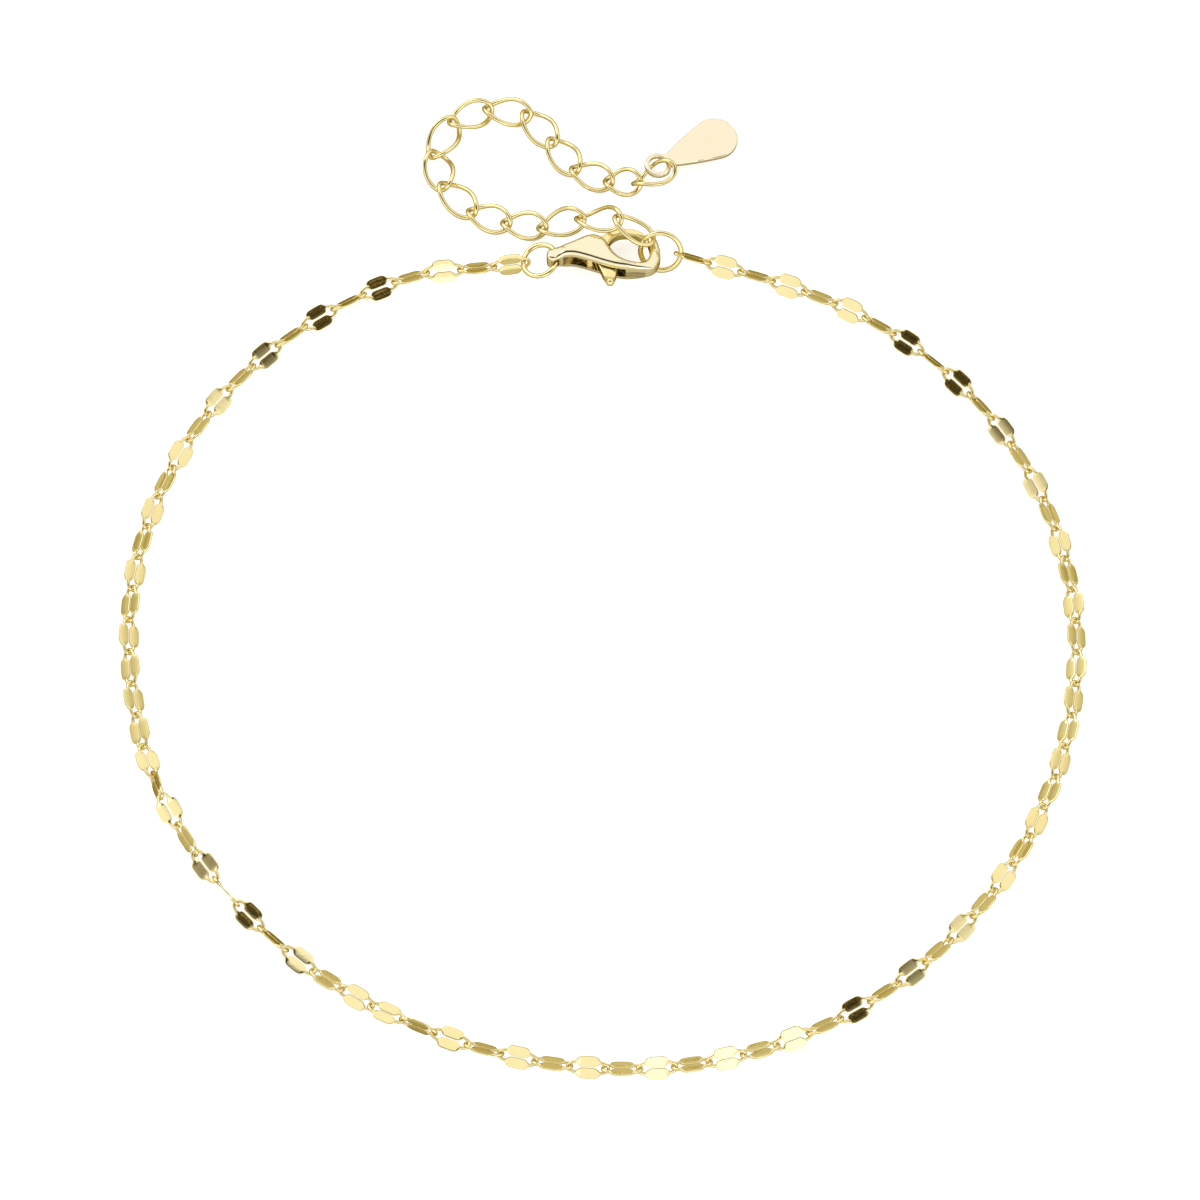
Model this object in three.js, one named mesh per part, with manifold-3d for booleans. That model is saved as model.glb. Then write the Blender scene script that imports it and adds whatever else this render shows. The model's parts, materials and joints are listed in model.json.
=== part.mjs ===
// Gold chain anklet lying open on a table: a sequin chain, a lobster clasp, an extender of
// twisted oval links and a plain teardrop tag. Millimetres, +Z up, seen from -Y.
import * as THREE from "three";
import { mergeVertices } from "three/addons/utils/BufferGeometryUtils.js";
import Module from "manifold-3d";

const wasm = await Module();
wasm.setup();

// Sequin chain: oval wire links, both long sides pressed into flat mirrors
const LINK_PITCH = 2.72;
const LINK_WIRE = 0.29;
const LINK_HALF_WIDTH = 0.52; // middle of the link to the middle of a pressed side
const SEQUIN_WIDTH = 0.84;
const SEQUIN_THICKNESS = 0.14;
const SEQUIN_FLAT = 1.3; // stretch of full width
const END_HALF_WIDTH = 0.27; // the wire runs straight across each end over twice this
const WIDE_END_HALF_WIDTH = 0.42; // at an end of the chain that hangs with a gap
const WIDE_END_WAIST = [0.62, 0.52]; // how far in from that end, and how wide there
const LINK_BITE = 0.05; // neighbours press this far into each other, which makes the chain one body
const WIRE_SIDES = 6;

// Clearance wherever two pieces hang in each other without being joined
const HANG_GAP = 0.1;
const EXTENDER_GAP = 0.3;

// Extender: twisted oval links
const EXTENDER_WIRE = 0.36;
const EXTENDER_HALF_WIDTH = 1.14; // to the middle of the wire
const EXTENDER_TWIST = 42; // degrees that each end is rolled out of the middle, opposite ways
const FIRST_LINK_TWIST = 14; // the link in the jump ring is almost flat
const EXTENDER_STATIONS = 12;

// Jump ring, through the hook of the clasp
const JUMP_RING_RADIUS = 1.66; // to the middle of the wire
const JUMP_RING_WIRE = 0.42;
const JUMP_RING_CENTRE = [4.95, 30.17, 1.48];
const JUMP_RING_TILT = 50; // its far side stands up
const JUMP_RING_HEADING = -8;

// Ring at the tail of the clasp
const TAIL_RING_RADIUS = 1.42;
const TAIL_RING_WIRE = 0.4;
const TAIL_RING_OVAL = 1.06;
const TAIL_RING_LEFT_Z = 0.66;
const TAIL_RING_ROLL = -8;
const TAIL_RING_SHIFT = -0.1; // along the eye of the clasp
const RING_STATIONS = 14;

// Lobster clasp, in its own frame: x towards the hook, y towards the gate, z through its face
const CLASP_THICKNESS = 2.1;
const CLASP_EDGE = 0.12; // the side stands this far proud of the face
const CLASP_EDGE_HEIGHT = 0.25;
const CLASP_ORIGIN = [0, 29.69, 1.38];
const CLASP_ROLL = -12; // it lies on its gate side
const SLOT_HEIGHT = 1.0;
const LEVER_THICKNESS = 0.8;
const PIVOT = [-0.15, 0.55];
const PIN_RADIUS = 0.2;
const PIN_GAP = 0.1;
const PIN_BITE = 0.2; // it is let into the body this far at both ends
const PIN_SIDES = 8;
const TRIGGER_BALL = [0.82, -2.5];
const TRIGGER_BALL_RADIUS = 0.36;
const HOOK_THINNING = 0.52; // taken off each face at the hook's end
const HOOK_THINNING_FROM = 2.2; // x where the faces start to close in
const TAIL_THICKNESS = 1.5;
const TAIL_FLAT = 1.1; // stretch beyond the eye's middle that is only this thick
const EYE_WIDTH = 0.76;
const EYE_HEIGHT = 0.74;
const EYE_X = -3.6;

// Teardrop tag, flat, from the middle of its ring
const TAG_LENGTH = 7.4;
const TAG_THICKNESS = 0.45;
const TAG_RING_RADIUS = 1.1;
const TAG_HOLE_RADIUS = 0.735;
const TAG_ROUND_RADIUS = 1.85;
const TAG_NECK_HALF_WIDTH = 0.62;
const TAG_NECK_END = 0.25; // past the ring
const TAG_FLANK = [1.24, 0.76]; // where its sides bend most, in radii of its round end
const TAG_ROUND_ANGLE = 102; // degrees of the round end on each side
const TAG_CURVE_STEPS = 14;
const TAG_CENTRE = [4.75, 38.13, 1.2];
const TAG_HEADING = 31;

// Route of the chain, joint to joint: x, y and how far it is lifted above lying flat.
// It is one standing kink long between its two stretches.
const KINK = [-34.5, -17.8, 1.5];
const LEFT_ROUTE = [
  [-9.1, 29.05, 0], [-14.37, 28.56, 0], [-21.68, 25.28, 0], [-28.2, 20.18, 0], [-33.26, 13.52, 0],
  [-36.46, 5.76, 0], [-37.6, -2.22, 0], [-36.73, -10.64, 0], [-35.3, -15.7, 0.25],
];
const RIGHT_ROUTE = [
  [-33.3, -19.7, 0.1], [-30.19, -24.3, 0], [-24.64, -30.07, 0], [-17.76, -34.75, 0],
  [-10.64, -37.83, 0], [-2.66, -39.64, 0], [5.6, -39.76, 0], [13.66, -37.98, 0],
  [20.85, -34.53, 0], [27.23, -29.43, 0], [32.37, -23.01, 0], [35.95, -15.64, 0],
  [37.8, -7.52, 0], [37.69, 0.65, 0], [35.59, 8.54, 0], [31.45, 15.82, 0],
  [25.72, 21.7, 0], [18.82, 26.01, 0], [11.12, 28.82, 0], [8.75, 29.5, 0.05],
];
// How the links are rolled about the route: at a link's number, the roll in degrees of the
// even links and of the odd links there. A link rolled by half a turn looks the same.
const ROLLS = [
  { link: 0, even: 58, odd: -38 },
  { link: 1, even: 40, odd: -38 },
  { link: 3, even: 34, odd: -42 },
  { link: 4, even: 23, odd: -52 },
  { link: 6, even: 23, odd: -52 },
  { link: 9, even: 30, odd: -45 },
  { link: 14, even: 38, odd: -38 },
  { link: 21, even: 38, odd: -38 },
  { link: 23, even: 10, odd: -70 },
  { link: 25, even: -8, odd: -68 },
  { link: 26, even: -19, odd: -95 },
  { link: 28, even: -19, odd: -108 },
  { link: 30, even: -2, odd: -128 },
  { link: 31, even: -25, odd: -145 },
  { link: 33, even: -62, odd: -160 },
  { link: 35, even: -105, odd: -178 },
  { link: 36, even: -133, odd: -200 },
  { link: 37, even: -140, odd: -222 },
  { link: 44, even: -147, odd: -223 },
  { link: 47, even: -128, odd: -203 },
  { link: 51, even: -135, odd: -210 },
  { link: 56, even: -142, odd: -218 },
  { link: 64, even: -143, odd: -218 },
  { link: 68, even: -153, odd: -228 },
  { link: 70, even: -162, odd: -237 },
  { link: 72, even: -162, odd: -237 },
  { link: 74, even: -143, odd: -218 },
  { link: 79, even: -140, odd: -230 },
];

// Joints of the extender, from the jump ring's side to the tag's
const EXTENDER_ROUTE = [
  [1.47, 32.36, 3.0], [-1.6, 33.2, 1.5], [-4.72, 32.87, 0.5], [-7.67, 33.22, 0.5],
  [-10.48, 34.24, 0.5], [-12.81, 36.63, 0.5], [-13.6, 39.49, 0.5], [-12.09, 42.48, 0.5],
  [-9.22, 43.69, 0.5], [-6.02, 43.22, 0.5], [-3.9, 40.69, 0.5], [-2.05, 38.12, 0.5],
  [0.72, 37.03, 0.5], [3.03, 36.87, 0.66],
];
const EXTENDER_START = [4.02, 30.89, 2.22]; // inside the jump ring's upper arc
const EXTENDER_END = [5.8, 37.7, 1.6]; // through the tag's ring
// Degrees of roll of the links that don't lie flat; the first ones lean over the clasp's bump
const EXTENDER_ROLLS = { 1: -26, 2: -10, 15: 24 };

// Outline of the clasp's face: round the hook from its tip, then the tail and the bump
const CLASP_OUTLINE = [
  [4.08, 1.85], [4.45, 1.6], [4.7, 0.9], [4.8, 0.1], [4.68, -0.75], [4.3, -1.33], [3.7, -1.52],
  [2.5, -1.55], [1.4, -1.42], [0.3, -1.07], [-1.0, -0.57], [-2.2, -0.22], [-3.2, -0.33],
  [-3.85, -0.58], [-4.17, -0.4], [-4.17, 0.2], [-3.8, 0.42], [-2.7, 0.75], [-1.7, 1.26],
  [-0.95, 1.63], [-0.35, 1.66], [0.15, 1.38], [0.55, 0.85], [0.9, 0.12], [1.4, -0.5],
  [2.1, -0.92], [2.9, -1.08], [3.6, -0.95], [4.05, -0.45], [4.2, 0.25], [4.12, 0.9], [4.0, 1.4],
];
const CLASP_OUTLINE_STEPS = 52;
// Slot for the lever, open along the outer edge and at the bump
const SLOT_OUTLINE = [
  [-3.0, -2.2], [-3.0, -0.1], [-2.4, 0.2], [-1.5, 0.72], [-1.05, 0.95], [-1.0, 2.4], [1.3, 2.4],
  [1.3, -0.3], [1.55, -0.9], [2.1, -1.4], [3.7, -1.4], [3.7, -2.2],
];
// Lever: the gate across the hook's mouth, its hub and the trigger
const LEVER_OUTLINE = [
  [-0.5, 1.3], [0.5, 2.2], [1.5, 2.68], [2.7, 2.65], [3.6, 2.15], [3.55, 1.65], [2.7, 2.03],
  [1.6, 2.05], [0.95, 1.6], [0.72, 0.9], [0.95, 0], [1.3, -1.5], [1.06, -2.3], [0.58, -2.3],
  [0.08, -1.5], [-0.5, 0.2], [-0.66, 0.7],
];

const UP = new THREE.Vector3(0, 0, 1);
const radians = THREE.MathUtils.degToRad;

function goldMaterial(colour, roughness) {
  return new THREE.MeshStandardMaterial({ color: colour, roughness, metalness: 1 });
}

function solid(geometry) {
  const bare = geometry.clone();
  bare.deleteAttribute("normal");
  bare.deleteAttribute("uv");
  const merged = mergeVertices(bare, 1e-4);
  return new wasm.Manifold(new wasm.Mesh({
    numProp: 3,
    vertProperties: new Float32Array(merged.attributes.position.array),
    triVerts: new Uint32Array(merged.index.array),
  }));
}

function geometryOf(made) {
  const mesh = made.getMesh();
  const geometry = new THREE.BufferGeometry();
  geometry.setAttribute("position", new THREE.BufferAttribute(mesh.vertProperties, 3));
  geometry.setIndex(new THREE.BufferAttribute(mesh.triVerts, 1));
  geometry.computeVertexNormals();
  return geometry;
}

// A closed ring of wire: place(station, corner) gives each corner of each section
function wireRing(stations, place) {
  const geometry = new THREE.TorusGeometry(1, 0.25, WIRE_SIDES, stations);
  const position = geometry.attributes.position;
  for (let corner = 0; corner <= WIRE_SIDES; corner++) {
    for (let station = 0; station <= stations; station++) {
      const point = place(station % stations, corner % WIRE_SIDES);
      position.setXYZ(corner * (stations + 1) + station, point.x, point.y, point.z);
    }
  }
  return geometry;
}

// Corner of a six-sided section: across is in the ring's plane, through is square to it
function sectionCorner(corner, halfWidth, halfThickness, shoulder) {
  const angle = (2 * Math.PI * corner) / WIRE_SIDES;
  const atTip = Math.abs(Math.sin(angle)) < 1e-6;
  const across = Math.sign(Math.cos(angle)) * halfWidth * (atTip ? 1 : shoulder);
  const through = atTip ? 0 : Math.sign(Math.sin(angle)) * halfThickness;
  return [across, through];
}

const ROUND_SHOULDER = 0.5;
const SEQUIN_SHOULDER = 0.7;
const ROUND_THICKNESS = Math.sin(Math.PI / 3);

// Outward offset at a corner of an anticlockwise outline that keeps the wire's thickness
function mitre(last, here, next) {
  const before = new THREE.Vector2(here.y - last.y, last.x - here.x).normalize();
  const after = new THREE.Vector2(next.y - here.y, here.x - next.x).normalize();
  return before.clone().add(after).divideScalar(1 + before.dot(after));
}

// Middle line of a sequin link from one end to the end of its pressed side
function quarterLink(halfLength, wide) {
  const pressed = { x: SEQUIN_FLAT / 2, y: LINK_HALF_WIDTH, pressed: true };
  if (!wide) return [{ x: halfLength, y: END_HALF_WIDTH }, pressed];
  const waist = { x: halfLength - WIDE_END_WAIST[0], y: WIDE_END_WAIST[1] };
  return [{ x: halfLength, y: WIDE_END_HALF_WIDTH }, waist, pressed];
}

// One sequin link about its middle, long along x
function sequinLink(chord, wideStart, wideEnd) {
  const halfLength = chord / 2 + LINK_WIRE / 2 - LINK_BITE / 2;
  const endQuarter = quarterLink(halfLength, wideEnd);
  const startQuarter = quarterLink(halfLength, wideStart).map((row) => ({ ...row, x: -row.x }));
  const half = [...endQuarter, ...startQuarter.reverse()];
  const stations = [...half, ...half.map((row) => ({ ...row, y: -row.y })).reverse()];
  return wireRing(stations.length, (station, corner) => {
    const here = stations[station];
    const next = stations[(station + 1) % stations.length];
    const last = stations[(station + stations.length - 1) % stations.length];
    const [across, through] = here.pressed
      ? sectionCorner(corner, SEQUIN_WIDTH / 2, SEQUIN_THICKNESS / 2, SEQUIN_SHOULDER)
      : sectionCorner(corner, LINK_WIRE / 2, (LINK_WIRE / 2) * ROUND_THICKNESS, ROUND_SHOULDER);
    const outward = here.pressed ? new THREE.Vector2(0, Math.sign(here.y)) : mitre(last, here, next);
    return new THREE.Vector3(here.x + outward.x * across, here.y + outward.y * across, through);
  });
}

// One oval link about its middle, long along x, its ends twisted by so many degrees
function extenderLink(chord, twist) {
  const halfLength = chord / 2 + EXTENDER_WIRE / 2 + EXTENDER_GAP / 2;
  const radius = EXTENDER_WIRE / 2;
  return wireRing(EXTENDER_STATIONS, (station, corner) => {
    const angle = (2 * Math.PI * station) / EXTENDER_STATIONS;
    const [across, through] = sectionCorner(corner, radius, radius * ROUND_THICKNESS, ROUND_SHOULDER);
    const outward = new THREE.Vector2(
      EXTENDER_HALF_WIDTH * Math.cos(angle), halfLength * Math.sin(angle)).normalize();
    const point = new THREE.Vector3(
      halfLength * Math.cos(angle) + outward.x * across,
      EXTENDER_HALF_WIDTH * Math.sin(angle) + outward.y * across, through);
    return point.applyAxisAngle(new THREE.Vector3(1, 0, 0), radians(twist) * Math.cos(angle));
  });
}

// Frame of a link between two joints, rolled about the line between them.
// At roll 0 the link lies flat; a positive roll raises its right-hand side.
function linkFrame(from, to, roll) {
  const along = to.clone().sub(from).normalize();
  const side = along.clone().cross(UP).normalize();
  const normal = side.clone().cross(along).normalize();
  const across = side.clone().multiplyScalar(Math.cos(roll)).addScaledVector(normal, Math.sin(roll));
  const through = along.clone().cross(across);
  const middle = from.clone().add(to).multiplyScalar(0.5);
  return new THREE.Matrix4().makeBasis(along, across, through).setPosition(middle);
}

function rollOf(link) {
  const after = Math.max(1, ROLLS.findIndex((row) => row.link >= link));
  const [low, high] = [ROLLS[after - 1], ROLLS[after]];
  const share = THREE.MathUtils.clamp((link - low.link) / (high.link - low.link), 0, 1);
  const column = link % 2 === 0 ? "even" : "odd";
  return radians(THREE.MathUtils.lerp(low[column], high[column], share));
}

// Half the height that a link takes up when rolled like this
function restHeight(roll) {
  const edge = LINK_HALF_WIDTH + SEQUIN_WIDTH / 2;
  return edge * Math.abs(Math.sin(roll)) + (LINK_WIRE / 2) * Math.abs(Math.cos(roll));
}

const deepVector = (point) => new THREE.Vector3(...point);

// Joints at even steps, in pairs, so that each link keeps its turn in the rolls
function evenlySpaced(points) {
  const curve = new THREE.CatmullRomCurve3(points, false, "centripetal");
  const count = 2 * Math.max(1, Math.round(curve.getLength() / LINK_PITCH / 2));
  return curve.getSpacedPoints(count);
}

// Joints of the chain from the tail ring to the jump ring
function chainJoints() {
  const ringReach = TAIL_RING_WIRE / 2 + HANG_GAP + LINK_BITE / 2;
  const start = tailRing.leftEnd.clone().add(new THREE.Vector3(ringReach, 0, 0));
  const jumpReach = JUMP_RING_WIRE / 2 + HANG_GAP + LINK_BITE / 2;
  const toRight = new THREE.Vector3(JUMP_RING_RADIUS - jumpReach, 0, 0)
    .applyAxisAngle(UP, radians(JUMP_RING_HEADING));
  const end = deepVector(JUMP_RING_CENTRE).add(toRight);
  const startLift = start.z - restHeight(rollOf(0));
  const left = evenlySpaced([
    new THREE.Vector3(start.x, start.y, startLift), ...LEFT_ROUTE.map(deepVector), deepVector(KINK)]);
  const lastRoll = rollOf(ROLLS[ROLLS.length - 1].link);
  const endLift = end.z - restHeight(lastRoll);
  const right = evenlySpaced([
    deepVector(KINK), ...RIGHT_ROUTE.map(deepVector), new THREE.Vector3(end.x, end.y, endLift)]);
  const joints = [...left, ...right.slice(1)];
  const links = joints.length - 1;
  return joints.map((joint, index) => {
    const before = restHeight(rollOf(Math.max(0, index - 1)));
    const after = restHeight(rollOf(Math.min(links - 1, index)));
    return new THREE.Vector3(joint.x, joint.y, joint.z + Math.max(before, after));
  });
}

// Links first to last of the chain as one body. Where the chain is parted between its two
// halves, the last link is drawn in so that it hangs in its neighbour with a gap.
function chainGeometry(joints, first, last, partedAt) {
  let chain = null;
  for (let link = first; link < last; link++) {
    const from = joints[link].clone();
    const to = joints[link + 1].clone();
    const along = to.clone().sub(from).normalize();
    if (link + 1 === partedAt) to.addScaledVector(along, LINK_BITE + HANG_GAP);
    const geometry = sequinLink(from.distanceTo(to), link === first, link + 1 === last);
    geometry.applyMatrix4(linkFrame(from, to, rollOf(link)));
    chain = chain ? chain.add(solid(geometry)) : solid(geometry);
  }
  return geometryOf(chain);
}

function tailRingPlace() {
  const rightX = CLASP_ORIGIN[0] + EYE_X + EYE_WIDTH / 2 - TAIL_RING_WIRE / 2 - HANG_GAP;
  const rightZ = CLASP_ORIGIN[2];
  const pitch = Math.asin((rightZ - TAIL_RING_LEFT_Z) / 2 / TAIL_RING_RADIUS);
  const reach = TAIL_RING_RADIUS * Math.cos(pitch);
  const centre = new THREE.Vector3(
    rightX - reach, CLASP_ORIGIN[1] + TAIL_RING_SHIFT, (rightZ + TAIL_RING_LEFT_Z) / 2);
  const leftEnd = new THREE.Vector3(rightX - 2 * reach, centre.y, TAIL_RING_LEFT_Z);
  return { centre, pitch, leftEnd };
}
const tailRing = tailRingPlace();

function roundRing(radius, wire) {
  return new THREE.TorusGeometry(radius, wire / 2, WIRE_SIDES, RING_STATIONS);
}

function flatShape(outline) {
  return new THREE.Shape(outline.map(([x, y]) => new THREE.Vector2(x, y)));
}

// A flat plate about z = 0, with a round hole where one is given
function slab(outline, thickness, hole = null) {
  const shape = flatShape(outline);
  if (hole) shape.holes.push(new THREE.Path(circle(hole).map(([x, y]) => new THREE.Vector2(x, y))));
  return new THREE.ExtrudeGeometry(shape, { depth: thickness, bevelEnabled: false })
    .translate(0, 0, -thickness / 2);
}

function circle({ radius, sides }) {
  const angles = Array.from({ length: sides }, (_, side) => (2 * Math.PI * side) / sides);
  return angles.map((angle) => [radius * Math.cos(angle), radius * Math.sin(angle)]);
}

function block(sizes, centre) {
  return new THREE.BoxGeometry(...sizes).translate(...centre);
}

function claspBody() {
  const edge = new THREE.CatmullRomCurve3(
    CLASP_OUTLINE.map(([x, y]) => new THREE.Vector3(x, y, 0)), true, "centripetal");
  const outline = edge.getPoints(CLASP_OUTLINE_STEPS).slice(0, -1).map((p) => [p.x, p.y]);
  const depth = CLASP_THICKNESS - 2 * CLASP_EDGE_HEIGHT;
  const blank = new THREE.ExtrudeGeometry(flatShape(outline), {
    depth, bevelSize: CLASP_EDGE, bevelThickness: CLASP_EDGE_HEIGHT, bevelSegments: 1,
  }).translate(0, 0, -depth / 2);
  let body = solid(blank).subtract(solid(slab(SLOT_OUTLINE, SLOT_HEIGHT)));
  const cut = CLASP_OUTLINE[3][0] - EYE_X;
  const hookSlope = Math.atan2(HOOK_THINNING, CLASP_OUTLINE[3][0] - HOOK_THINNING_FROM);
  for (const face of [-1, 1]) {
    const tailZ = (face * (TAIL_THICKNESS + cut)) / 2;
    body = body.subtract(solid(block([TAIL_FLAT, cut, cut], [EYE_X - TAIL_FLAT / 2, 0, tailZ])));
    const wedge = block([cut, cut, cut], [cut / 2, 0, (face * cut) / 2]).rotateY(face * hookSlope);
    wedge.translate(HOOK_THINNING_FROM, 0, (face * CLASP_THICKNESS) / 2);
    body = body.subtract(solid(wedge));
  }
  body = body.subtract(solid(block([EYE_WIDTH, cut, EYE_HEIGHT], [EYE_X, 0, 0])));
  const pin = new THREE.CylinderGeometry(
    PIN_RADIUS, PIN_RADIUS, SLOT_HEIGHT + 2 * PIN_BITE, PIN_SIDES)
    .rotateX(Math.PI / 2).translate(...PIVOT, 0);
  return geometryOf(body.add(solid(pin)));
}

// The lever about its pin
function claspLever() {
  const outline = LEVER_OUTLINE.map(([x, y]) => [x - PIVOT[0], y - PIVOT[1]]);
  const plate = slab(outline, LEVER_THICKNESS, { radius: PIN_RADIUS + PIN_GAP, sides: 10 });
  const ball = new THREE.SphereGeometry(TRIGGER_BALL_RADIUS, 10, 6)
    .translate(TRIGGER_BALL[0] - PIVOT[0], TRIGGER_BALL[1] - PIVOT[1], 0);
  return geometryOf(solid(plate).add(solid(ball)));
}

function tagGeometry() {
  const roundX = TAG_LENGTH - TAG_ROUND_RADIUS;
  const meet = radians(TAG_ROUND_ANGLE);
  const neckX = Math.sqrt(TAG_RING_RADIUS ** 2 - TAG_NECK_HALF_WIDTH ** 2);
  const neckAngle = Math.asin(TAG_NECK_HALF_WIDTH / TAG_RING_RADIUS);
  const shape = new THREE.Shape();
  shape.absarc(0, 0, TAG_RING_RADIUS, neckAngle, 2 * Math.PI - neckAngle, false);
  const side = [
    [neckX + TAG_NECK_END, TAG_NECK_HALF_WIDTH],
    [roundX - TAG_ROUND_RADIUS * TAG_FLANK[0], TAG_ROUND_RADIUS * TAG_FLANK[1]],
    [roundX + TAG_ROUND_RADIUS * Math.cos(meet), TAG_ROUND_RADIUS * Math.sin(meet)],
  ];
  shape.lineTo(side[0][0], -side[0][1]);
  shape.quadraticCurveTo(side[1][0], -side[1][1], side[2][0], -side[2][1]);
  shape.absarc(roundX, 0, TAG_ROUND_RADIUS, -meet, meet, false);
  shape.quadraticCurveTo(side[1][0], side[1][1], side[0][0], side[0][1]);
  const outline = shape.getPoints(TAG_CURVE_STEPS).filter(
    (point, index, all) => index === 0 || point.distanceTo(all[index - 1]) > 1e-4);
  return slab(outline.map((p) => [p.x, p.y]), TAG_THICKNESS, { radius: TAG_HOLE_RADIUS, sides: 16 });
}

function piece(name, geometry, colour, roughness) {
  const mesh = new THREE.Mesh(geometry, goldMaterial(colour, roughness));
  mesh.name = name;
  return mesh;
}

function chain() {
  const group = new THREE.Group();
  const joints = chainJoints();
  const links = joints.length - 1;
  const half = Math.round(links / 2);
  group.add(piece("sequin_chain_left", chainGeometry(joints, 0, half, half), 0xf2cf7a, 0.1));
  group.add(piece("sequin_chain_right", chainGeometry(joints, half, links, -1), 0xf2cf7a, 0.1));
  return group;
}

function rings() {
  const group = new THREE.Group();
  const tail = piece(
    "tail_ring", roundRing(TAIL_RING_RADIUS, TAIL_RING_WIRE), 0xf0c766, 0.14);
  tail.scale.y = TAIL_RING_OVAL;
  tail.position.copy(tailRing.centre);
  tail.rotation.set(radians(TAIL_RING_ROLL), -tailRing.pitch, 0);
  const jump = piece("jump_ring", roundRing(JUMP_RING_RADIUS, JUMP_RING_WIRE), 0xf0c766, 0.14);
  jump.position.set(...JUMP_RING_CENTRE);
  jump.rotation.set(radians(JUMP_RING_TILT), 0, radians(JUMP_RING_HEADING), "ZYX");
  group.add(tail, jump);
  return group;
}

function clasp() {
  const group = new THREE.Group();
  group.position.set(...CLASP_ORIGIN);
  group.rotation.x = radians(CLASP_ROLL);
  const lever = piece("clasp_lever", claspLever(), 0xeebf5a, 0.16);
  lever.position.set(...PIVOT, 0);
  group.add(piece("clasp_body", claspBody(), 0xf4d488, 0.12), lever);
  return group;
}

function extender() {
  const group = new THREE.Group();
  const joints = [EXTENDER_START, ...EXTENDER_ROUTE, EXTENDER_END].map(deepVector);
  for (let link = 1; link < joints.length; link++) {
    const [from, to] = [joints[link - 1], joints[link]];
    const name = "extender_link_" + String(link).padStart(2, "0");
    const twist = link === 1 ? FIRST_LINK_TWIST : EXTENDER_TWIST;
    const mesh = piece(name, extenderLink(from.distanceTo(to), twist), 0xf0ca70, 0.16);
    mesh.applyMatrix4(linkFrame(from, to, radians(EXTENDER_ROLLS[link] ?? 0)));
    group.add(mesh);
  }
  return group;
}

function tag() {
  const mesh = piece("teardrop_tag", tagGeometry(), 0xf6da96, 0.12);
  const drop = Math.asin((TAG_CENTRE[2] - TAG_THICKNESS / 2) / TAG_LENGTH);
  mesh.position.set(...TAG_CENTRE);
  mesh.rotation.set(0, drop, radians(TAG_HEADING), "ZYX");
  return mesh;
}

// The origin is the middle of the footprint, on the table
const anklet = new THREE.Group();
anklet.add(chain(), rings(), clasp(), extender(), tag());
const box = new THREE.Box3().setFromObject(anklet, true);
anklet.position.set(-(box.min.x + box.max.x) / 2, -(box.min.y + box.max.y) / 2, -box.min.z);

export default anklet;
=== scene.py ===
"""A gold chain anklet laid open on a white table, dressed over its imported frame.

Shapes are worked out in millimetres in the table's own axes, then moved onto the frame.
"""

import json
import logging
import math
from dataclasses import dataclass, field
from enum import Enum
from typing import Callable, Optional, Sequence

import bmesh
import bpy
from mathutils import Euler, Matrix, Vector


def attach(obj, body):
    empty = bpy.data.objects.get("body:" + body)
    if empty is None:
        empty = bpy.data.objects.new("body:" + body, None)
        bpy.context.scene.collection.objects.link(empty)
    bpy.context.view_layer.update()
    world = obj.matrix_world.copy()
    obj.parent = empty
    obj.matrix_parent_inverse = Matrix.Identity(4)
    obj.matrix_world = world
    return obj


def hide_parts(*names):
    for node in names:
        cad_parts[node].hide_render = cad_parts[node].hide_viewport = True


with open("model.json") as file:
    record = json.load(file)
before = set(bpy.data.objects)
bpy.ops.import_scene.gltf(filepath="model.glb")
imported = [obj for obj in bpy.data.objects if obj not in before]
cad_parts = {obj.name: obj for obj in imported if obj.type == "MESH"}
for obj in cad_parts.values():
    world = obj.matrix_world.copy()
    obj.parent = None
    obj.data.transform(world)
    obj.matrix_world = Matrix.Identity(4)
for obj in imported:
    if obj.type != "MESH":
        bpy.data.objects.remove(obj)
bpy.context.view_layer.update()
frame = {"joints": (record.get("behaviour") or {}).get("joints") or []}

LOG = logging.getLogger("anklet")
MM = 0.001
FLAT_RIM = 0.02
EVERYWHERE = 1e4
Place = Callable[[float, float, float], Vector]
Point = tuple[float, float, float]
Colour = tuple[float, float, float]
Outline = list[Vector]


class Body(Enum):
    """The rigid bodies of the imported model."""

    ROOT = "root"
    LEVER = "lever"


class Slot(Enum):
    """The record's material slots."""

    CHAIN = "chain_gold"
    RING = "ring_gold"
    CLASP = "clasp_gold"
    LEVER = "lever_gold"
    EXTENDER = "extender_gold"
    TAG = "tag_gold"


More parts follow.
